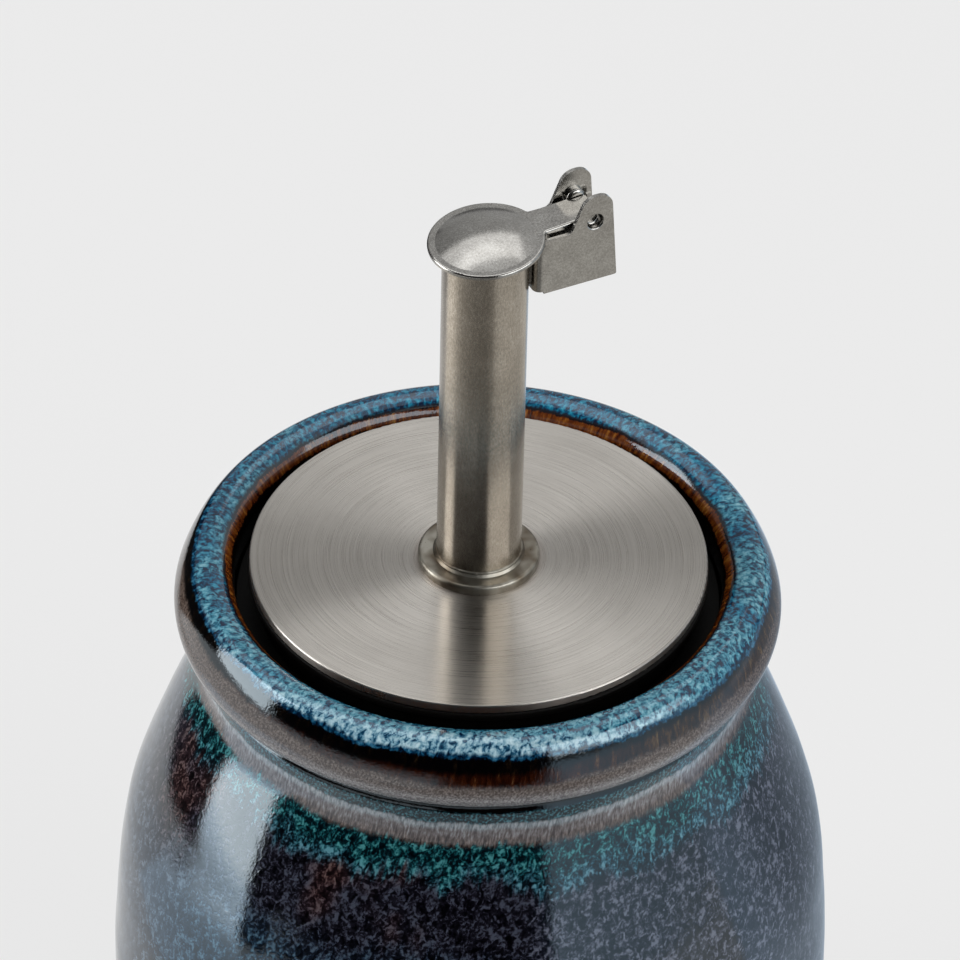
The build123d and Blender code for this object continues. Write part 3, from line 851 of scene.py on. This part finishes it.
# %% Tube steel
TUBE_GRAIN, TUBE_CLOUD = 1 / 4.2, 6.25
tube_steel, tree = new_material("satin_drawn_stainless")
here = add(tree, "TexCoord").outputs["Object"]
pull = add(tree, "VectorMath", {0: here, 1: (1, 1, 0.45)}, operation="MULTIPLY")
grain = add(tree, "TexNoise", {"Vector": pull, "Scale": specks(TUBE_GRAIN), "Detail": 3, "Roughness": 0.7})
cloud = add(tree, "TexNoise", {"Vector": here, "Scale": specks(TUBE_CLOUD), "Detail": 3, "Roughness": 0.6})
both = add(tree, "Math", {0: cloud, 1: 0.5, 2: grain}, operation="MULTIPLY_ADD")
tone = add(tree, "ValToRGB", {0: both}, stops=[(0.5, "968f84"), (0.75, "aca499"), (0.98, "c0b9ae")])
rough = add(tree, "MapRange", {"Value": grain, **NOISE_MIDDLE, "To Min": 0.16, "To Max": 0.22})
bump = add(tree, "Bump", {"Height": grain, "Strength": 0.5, "Distance": 0.003 * MM})
tangent = add(tree, "Tangent", direction_type="RADIAL", axis="Z")
shine = add(tree, "BsdfPrincipled", {
    "Base Color": tone, "Metallic": 1, "Roughness": rough, "Anisotropic": 0.9, "Anisotropic Rotation": 0.25,
    "Tangent": tangent, "Normal": bump})
add(tree, "OutputMaterial", {"Surface": shine})
dress("spout_tube", tube_steel)
print("grain about", round(TUBE_GRAIN, 2), "mm")

# %% Collar steel
COLLAR_GRAIN, COLLAR_CLOUD = 1 / 2.6, 1 / 0.24
collar_steel, tree = new_material("heat_stained_stainless")
here = add(tree, "TexCoord").outputs["Object"]
grain = add(tree, "TexNoise", {"Vector": here, "Scale": specks(COLLAR_GRAIN), "Detail": 4, "Roughness": 0.7})
cloud = add(tree, "TexNoise", {"Vector": here, "Scale": specks(COLLAR_CLOUD), "Detail": 2, "Roughness": 0.6})
tone = add(tree, "ValToRGB", {0: cloud}, stops=[(0.36, "5f564a"), (0.5, "807b71"), (0.62, "9a978e")])
rough = add(tree, "MapRange", {"Value": grain, **NOISE_MIDDLE, "To Min": 0.26, "To Max": 0.42})
bump = add(tree, "Bump", {"Height": grain, "Strength": 0.6, "Distance": 0.02 * MM})
shine = add(tree, "BsdfPrincipled", {"Base Color": tone, "Metallic": 1, "Roughness": rough, "Normal": bump})
add(tree, "OutputMaterial", {"Surface": shine})
dress("spout_collar", collar_steel)
print("collar stained in patches of about", round(COLLAR_CLOUD), "mm")


# %% Weld bead
BEAD_THICK = 0.25
# Each ripple of the torch: its height as a share of the bead, how many go round, and where they start.
RIPPLES = [(0.05, 23, 0), (0.04, 41, 1), (0.05, 9, 2)]


def weld_bead(name, radius, height, thick, turns=192, sides=10):
    """A ring of weld in the corner between tube and collar, in millimetres, with the ripples of the torch."""
    bm = bmesh.new()
    circles = []
    for i in range(turns):
        angle = 2 * math.pi * i / turns
        swell = 1 + sum(share * math.sin(count * angle + start) for share, count, start in RIPPLES)
        circle = []
        for k in range(sides):
            turn = 2 * math.pi * k / sides
            r = radius + thick * swell * math.cos(turn)
            z = height + thick * swell * math.sin(turn)
            circle.append(bm.verts.new((r * math.cos(angle) * MM, r * math.sin(angle) * MM, z * MM)))
        circles.append(circle)
    for i in range(turns):
        a, b = circles[i], circles[(i + 1) % turns]
        for k in range(sides):
            n = (k + 1) % sides
            bm.faces.new((a[k], b[k], b[n], a[n])).smooth = True
    mesh = bpy.data.meshes.new(name)
    bm.to_mesh(mesh)
    bm.free()
    made = bpy.data.objects.new(name, mesh)
    scene.collection.objects.link(made)
    return made


_, tube_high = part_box("spout_tube")
_, collar_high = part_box("spout_collar")
bead = weld_bead("collar_weld_bead", tube_high.x / MM, collar_high.z / MM, BEAD_THICK)
bead.data.materials.append(collar_steel)
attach(bead, "lid")
print("weld bead", len(bead.data.polygons), "faces at", round(collar_high.z / MM, 2), "mm")

# %% [markdown]
# ## Bracket, flap and fasteners
# The small pressed parts were tumbled in a drum of ceramic chips, which rounds their edges and gives a soft
# grey surface with a fine sparkle. The grain has no direction, so the highlight stays round.

# %% Sheet steel
SHEET_GRAIN, SHEET_CLOUD = 1 / 3.8, 1 / 0.3
sheet_steel, tree = new_material("tumbled_stainless_sheet")
here = add(tree, "TexCoord").outputs["Object"]
grain = add(tree, "TexNoise", {"Vector": here, "Scale": specks(SHEET_GRAIN), "Detail": 3, "Roughness": 0.7})
cloud = add(tree, "TexNoise", {"Vector": here, "Scale": specks(SHEET_CLOUD), "Detail": 3, "Roughness": 0.6})
both = add(tree, "Math", {0: cloud, 1: 0.5, 2: grain}, operation="MULTIPLY_ADD")
tone = add(tree, "ValToRGB", {0: both}, stops=[(0.5, "8d8b87"), (0.75, "a4a29e"), (0.98, "bab9b5")])
rough = add(tree, "MapRange", {"Value": grain, **NOISE_MIDDLE, "To Min": 0.15, "To Max": 0.22})
bump = add(tree, "Bump", {"Height": grain, "Strength": 0.6, "Distance": 0.003 * MM})
shine = add(tree, "BsdfPrincipled", {"Base Color": tone, "Metallic": 1, "Roughness": rough, "Normal": bump})
add(tree, "OutputMaterial", {"Surface": shine})
for name in ("hinge_bracket", "flap_cap", "clamp_washer", "clamp_nut"):
    dress(name, sheet_steel)
print("tumbled grain about", round(SHEET_GRAIN, 2), "mm")

# %% [markdown]
# ## Seal and core
# Silicone is matt but slightly greasy looking, so it keeps a soft highlight along each fin. The core is
# moulded polypropylene with the faint spark-eroded texture of its mould.

# %% Rubber
RUBBER_SKIN = 1 / 2.6
rubber, tree = new_material("black_silicone_rubber")
here = add(tree, "TexCoord").outputs["Object"]
skin = add(tree, "TexNoise", {"Vector": here, "Scale": specks(RUBBER_SKIN), "Detail": 3, "Roughness": 0.6})
tone = add(tree, "ValToRGB", {0: skin}, stops=[(0.35, "040303"), (0.65, "0b0a09")])
bump = add(tree, "Bump", {"Height": skin, "Strength": 0.5, "Distance": 0.02 * MM})
shine = add(tree, "BsdfPrincipled", {
    "Base Color": tone, "Roughness": 0.55, "IOR": 1.41, "Specular IOR Level": 0.12, "Normal": bump})
add(tree, "OutputMaterial", {"Surface": shine})
dress("seal_ring", rubber)
print("pores in the rubber about", round(RUBBER_SKIN, 2), "mm")

# %% Plastic
MOULD_SKIN = 1 / 1.2
plastic, tree = new_material("black_moulded_polypropylene")
here = add(tree, "TexCoord").outputs["Object"]
skin = add(tree, "TexNoise", {"Vector": here, "Scale": specks(MOULD_SKIN), "Detail": 3, "Roughness": 0.6})
tone = add(tree, "ValToRGB", {0: skin}, stops=[(0.35, "121212"), (0.65, "232323")])
bump = add(tree, "Bump", {"Height": skin, "Strength": 0.5, "Distance": 0.03 * MM})
shine = add(tree, "BsdfPrincipled", {"Base Color": tone, "Roughness": 0.5, "IOR": 1.49, "Normal": bump})
add(tree, "OutputMaterial", {"Surface": shine})
dress("plug_core", plastic)
print("mould texture about", round(MOULD_SKIN, 2), "mm")
